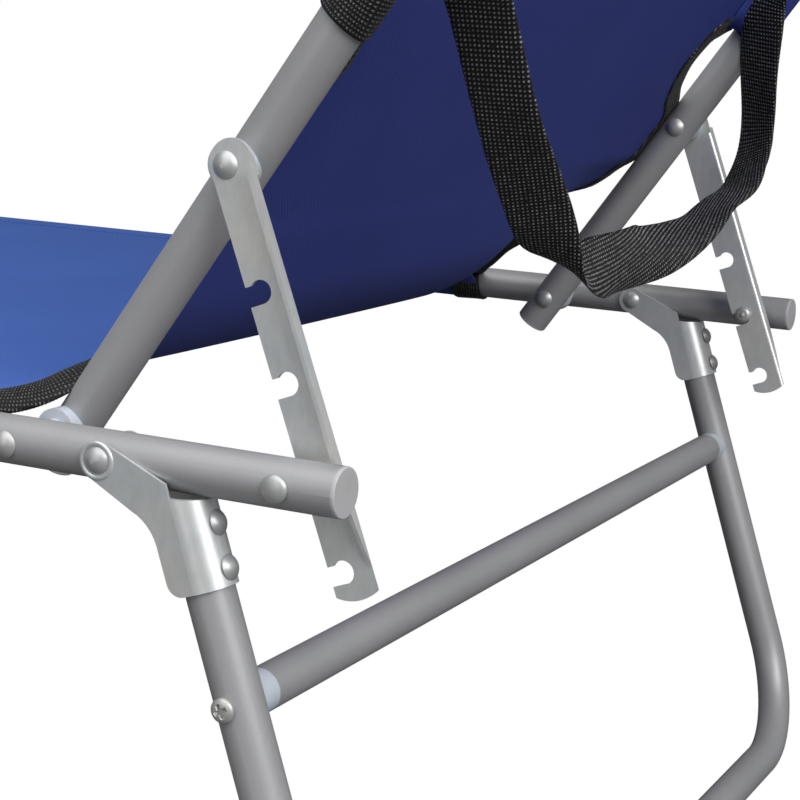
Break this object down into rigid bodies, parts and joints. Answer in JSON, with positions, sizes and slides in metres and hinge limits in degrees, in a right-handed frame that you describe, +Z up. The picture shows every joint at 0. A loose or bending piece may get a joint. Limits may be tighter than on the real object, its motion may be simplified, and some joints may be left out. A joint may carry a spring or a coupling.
{
  "type": "folding beach lounger",
  "caption": "Low folding beach lounger with a tubular frame, hoop legs, a fold-over foot section and a blue fabric backrest on notched adjuster bars.",
  "frame": {"origin": "on the floor, under the middle of the lounger's footprint, backrest at rest", "axes": "+X across the seat to the sitter's left, +Y towards the head end, +Z up"},
  "size_m": [0.595, 1.6371, 0.8043],
  "materials": {
    "frame_paint": "satin silver-grey powder coat",
    "zinc_plate": "zinc-plated sheet steel",
    "bright_steel": "bright zinc-plated rivets and screws",
    "grey_plastic": "matte grey end plugs",
    "pale_plastic": "translucent pale blue-grey spacers",
    "black_plastic": "matte black",
    "seat_cloth": "woven polyester, blue",
    "back_cloth": "woven polyester, blue",
    "webbing": "black ribbed webbing and binding tape"
  },
  "bodies": {
    "seat": {"rail_left": "frame_paint", "rail_right": "frame_paint", "rail_caps": "grey_plastic", "adjuster_pins": "bright_steel", "back_pivot_rivets": "bright_steel", "rear_leg_pivot_rivets": "bright_steel", "mid_leg_pivot_rivets": "bright_steel", "seat_hinge_leaves": "zinc_plate", "mid_hinge_pins": "bright_steel", "seat_fabric": "seat_cloth", "fold_fabric": "seat_cloth"},
    "backrest": {"back_frame": "frame_paint", "back_frame_caps": "grey_plastic", "back_pivot_spacers": "pale_plastic", "bar_pivot_spacers": "pale_plastic", "bar_pivot_rivets": "bright_steel", "back_fabric": "back_cloth", "carry_strap": "webbing"},
    "left_adjuster": {"adjuster_bar_left": "zinc_plate"},
    "right_adjuster": {"adjuster_bar_right": "zinc_plate"},
    "rear_leg": {"rear_leg_frame": "frame_paint", "rear_leg_crossbar": "frame_paint", "rear_crossbar_saddles": "pale_plastic", "rear_crossbar_screws": "bright_steel", "rear_leg_brackets": "zinc_plate", "rear_bracket_rivets": "bright_steel", "rear_glides": "black_plastic"},
    "mid_leg": {"mid_leg_frame": "frame_paint", "mid_leg_crossbar": "frame_paint", "mid_crossbar_saddles": "pale_plastic", "mid_crossbar_screws": "bright_steel", "mid_leg_brackets": "zinc_plate", "mid_bracket_rivets": "bright_steel", "mid_glides": "black_plastic"},
    "foot_section": {"foot_frame": "frame_paint", "foot_frame_caps": "grey_plastic", "foot_hinge_leaves": "zinc_plate", "hinge_leaf_rivets": "bright_steel", "front_leg_pivot_rivets": "bright_steel", "foot_fabric": "seat_cloth"},
    "front_leg": {"front_leg_frame": "frame_paint", "front_leg_crossbar": "frame_paint", "front_crossbar_saddles": "pale_plastic", "front_crossbar_screws": "bright_steel", "front_leg_brackets": "zinc_plate", "front_bracket_rivets": "bright_steel", "front_glides": "black_plastic"}
  },
  "joints": [
    {"name": "back_recline", "type": "hinge", "parent": "seat", "child": "backrest", "pos_m": [0, 0.44197, 0.2705], "axis": [1, 0, 0], "range_deg": [-55, 125], "deforming": ["fold_fabric", "seat_fabric", "carry_strap"]},
    {"name": "left_adjuster_swing", "type": "hinge", "parent": "backrest", "child": "left_adjuster", "pos_m": [0.26125, 0.51842, 0.37969], "axis": [1, 0, 0], "range_deg": [-51.5, 23]},
    {"name": "right_adjuster_swing", "type": "hinge", "parent": "backrest", "child": "right_adjuster", "pos_m": [-0.26125, 0.51842, 0.37969], "axis": [1, 0, 0], "range_deg": [-51.5, 23]},
    {"name": "rear_leg_fold", "type": "hinge", "parent": "seat", "child": "rear_leg", "pos_m": [0, 0.48547, 0.2705], "axis": [-1, 0, 0], "range_deg": [0, 109]},
    {"name": "mid_leg_fold", "type": "hinge", "parent": "seat", "child": "mid_leg", "pos_m": [0, -0.17803, 0.2705], "axis": [1, 0, 0], "range_deg": [0, 109]},
    {"name": "foot_fold", "type": "hinge", "parent": "seat", "child": "foot_section", "pos_m": [0, -0.25303, 0.2825], "axis": [-1, 0, 0], "range_deg": [0, 180]},
    {"name": "front_leg_fold", "type": "hinge", "parent": "foot_section", "child": "front_leg", "pos_m": [0, -0.68943, 0.2705], "axis": [1, 0, 0], "range_deg": [0, 109]}
  ],
  "couplings": [
    {"joint": "left_adjuster_swing", "follows": "back_recline", "ratio": -0.408},
    {"joint": "right_adjuster_swing", "follows": "back_recline", "ratio": -0.408}
  ]
}
